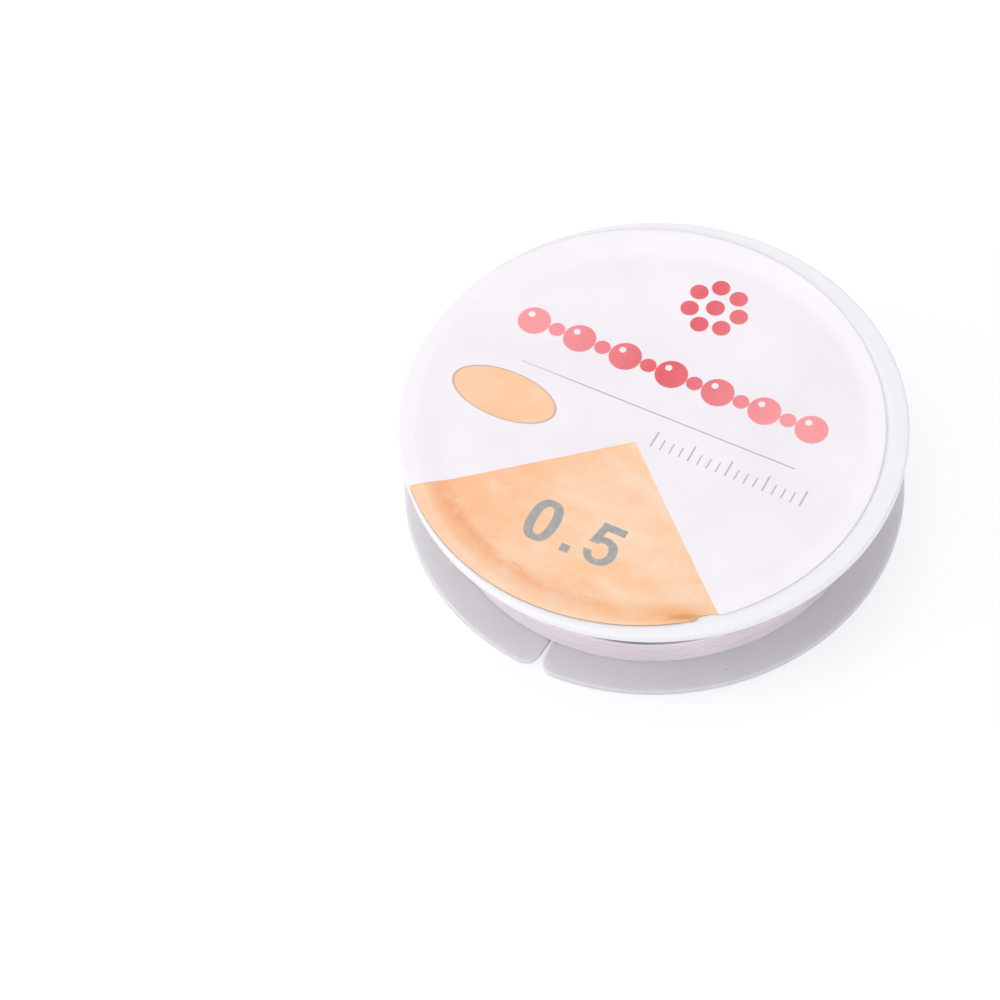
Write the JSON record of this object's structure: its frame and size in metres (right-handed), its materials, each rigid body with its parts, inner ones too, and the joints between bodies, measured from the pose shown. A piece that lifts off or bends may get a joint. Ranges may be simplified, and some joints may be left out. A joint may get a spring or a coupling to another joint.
{
  "type": "fishing line spool",
  "caption": "Flat flanged spool of clear monofilament fishing line, with a round paper label on its front flange, an open hub at the rear and a slit that holds the line's end.",
  "frame": {"origin": "on the spool's axis at the rear flange's outer face, which it stands on", "axes": "+Z along the spool's axis towards the labelled front flange; -Y towards the viewer of the picture; +X to the viewer's right"},
  "size_m": [0.06, 0.06, 0.0127],
  "materials": {
    "milky_plastic": "milky translucent polypropylene, satin as moulded",
    "label_paper": "white paper sticker under a thin gloss film, with an orange sector",
    "wound_line": "clear nylon line in closely wound turns, seen as a silky translucent body",
    "clear_line": "clear nylon monofilament, glossy"
  },
  "bodies": {
    "root": {"front_flange_hub": "milky_plastic", "rear_flange": "milky_plastic", "front_label": "label_paper", "line_core": "wound_line", "line_outer_layer": "clear_line", "line_tail": "clear_line"}
  },
  "joints": []
}
